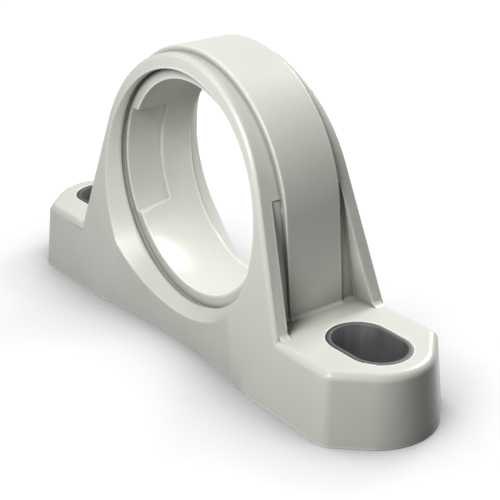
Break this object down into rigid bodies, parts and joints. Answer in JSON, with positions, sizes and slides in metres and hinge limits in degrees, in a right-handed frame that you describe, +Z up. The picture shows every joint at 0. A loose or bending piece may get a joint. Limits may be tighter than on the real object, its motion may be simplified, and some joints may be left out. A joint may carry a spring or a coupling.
{
  "type": "bearing housing",
  "caption": "Moulded composite pillow-block housing: spherical bearing seat in a banded ring, gusseted flanks and slotted feet lined with steel sleeves.",
  "frame": {"origin": "centre of the flat underside of the base, half-way between the bolt slots", "axes": "+X runs from bolt slot to bolt slot (longest extent), +Y runs along the bore from the front, where the loading notches open, to the rear (shortest extent), +Z is up from the mounting surface"},
  "size_m": [0.159, 0.0398, 0.0807],
  "materials": {
    "composite": "moulded off-white composite with a fine satin grain",
    "sleeve_steel": "plain drawn steel, slightly dull"
  },
  "bodies": {
    "root": {"housing_body": "composite", "bolt_sleeve_left": "sleeve_steel", "bolt_sleeve_right": "sleeve_steel"}
  },
  "joints": []
}
